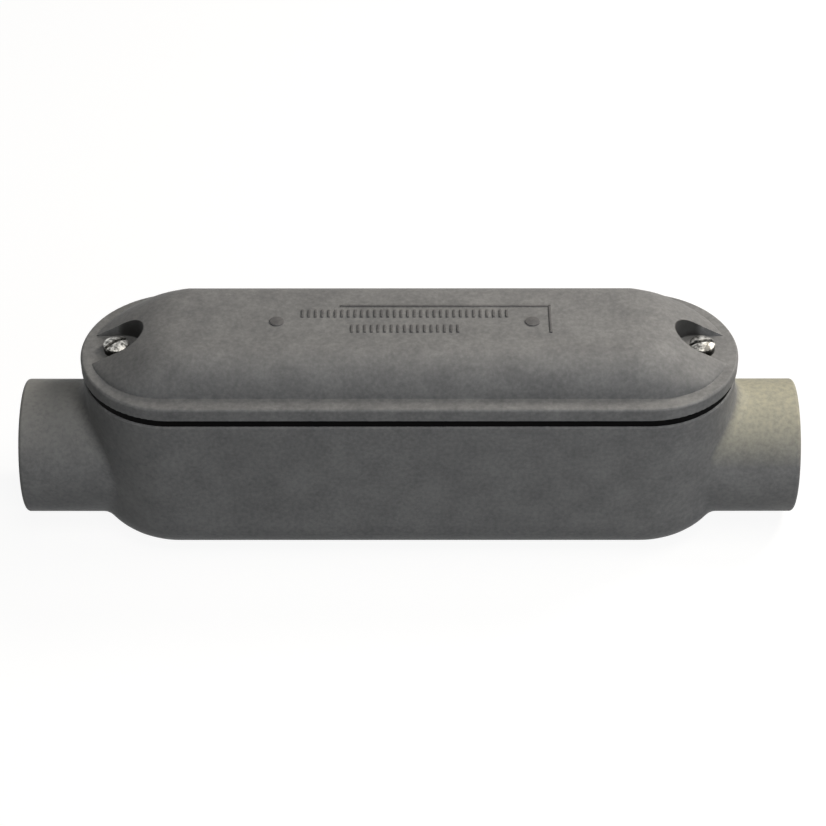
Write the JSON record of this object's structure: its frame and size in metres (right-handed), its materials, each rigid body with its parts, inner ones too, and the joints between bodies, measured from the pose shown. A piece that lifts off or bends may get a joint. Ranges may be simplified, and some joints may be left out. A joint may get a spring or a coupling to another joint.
{
  "type": "conduit body",
  "caption": "Straight-through cast conduit body: deep obround housing with a threaded hub at each end and a domed, gasketed cover held by slotted screws.",
  "frame": {"origin": "middle of the flat underside of the housing", "axes": "+X through both hubs, +Z out of the cover, Y across the housing"},
  "size_m": [0.2478, 0.0594, 0.0737],
  "materials": {
    "cast_iron": "grey coated, with a fine sand-cast grain",
    "gasket_rubber": "matte black",
    "bright_steel": "bright turned"
  },
  "bodies": {
    "housing": {"housing": "cast_iron", "gasket": "gasket_rubber"},
    "cover": {"cover": "cast_iron"},
    "left_screw": {"left_screw": "bright_steel"},
    "right_screw": {"right_screw": "bright_steel"}
  },
  "joints": [
    {"name": "cover_lift", "type": "slide", "parent": "housing", "child": "cover", "axis": [0, 0, 1], "range_m": [0, 0.06]},
    {"name": "left_screw_turn", "type": "hinge", "parent": "cover", "child": "left_screw", "pos_m": [-0.092, 0, 0.0622], "axis": [0, 0, 1], "range_deg": [0, 2610]},
    {"name": "right_screw_turn", "type": "hinge", "parent": "cover", "child": "right_screw", "pos_m": [0.092, 0, 0.0622], "axis": [0, 0, 1], "range_deg": [0, 2610]}
  ]
}
